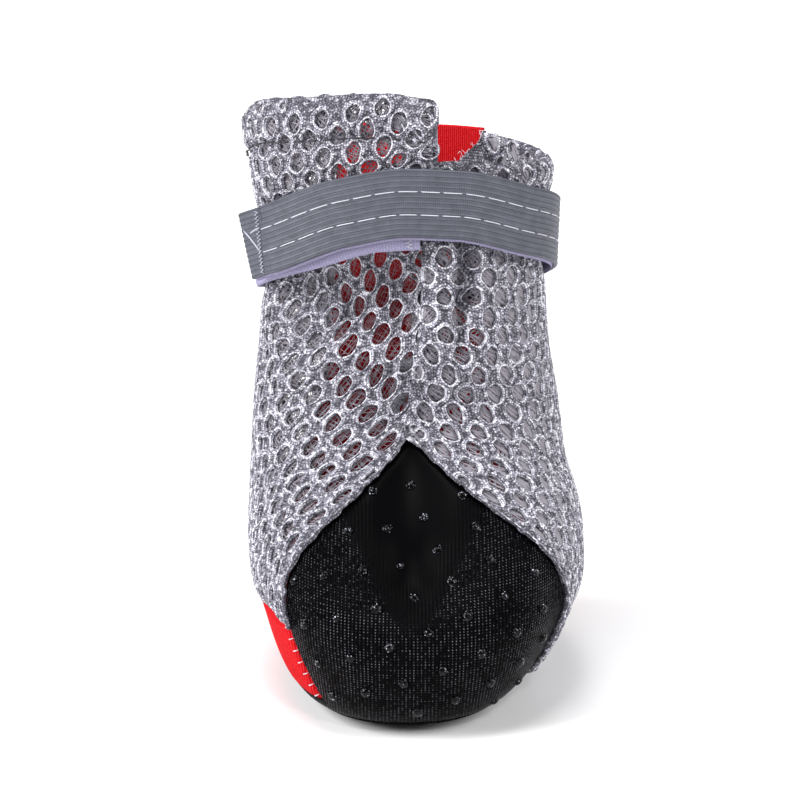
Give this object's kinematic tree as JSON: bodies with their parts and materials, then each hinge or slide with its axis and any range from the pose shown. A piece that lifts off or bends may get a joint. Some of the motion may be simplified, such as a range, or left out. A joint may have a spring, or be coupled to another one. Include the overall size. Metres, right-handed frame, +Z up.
{
  "type": "dog boot",
  "caption": "Soft mesh dog boot on a grip-knit sole that wraps over the toe, with a knit back panel, a front lap and a reflective hook-and-loop strap.",
  "frame": {"origin": "on the flat underside of the sole, below the middle of the foot", "axes": "+Z up from the floor to the collar, -Y towards the toe, +X to the right seen from the toe"},
  "size_m": [0.0517, 0.0633, 0.088],
  "materials": {
    "grip_knit": "black polyester knit with small raised grip dots",
    "air_mesh": "silver grey air mesh, open oval holes, slight sheen",
    "back_knit": "bright red brushed knit, matt",
    "reflective_tape": "grey ribbed reflective tape with white running stitch",
    "loop_tape": "pale lavender loop tape, soft matt pile",
    "insole_felt": "dark grey felt, matt"
  },
  "bodies": {
    "root": {"sole": "grip_knit", "upper": "air_mesh", "back_panel": "back_knit", "strap": "reflective_tape", "strap_base": "loop_tape", "insole": "insole_felt"}
  },
  "joints": []
}
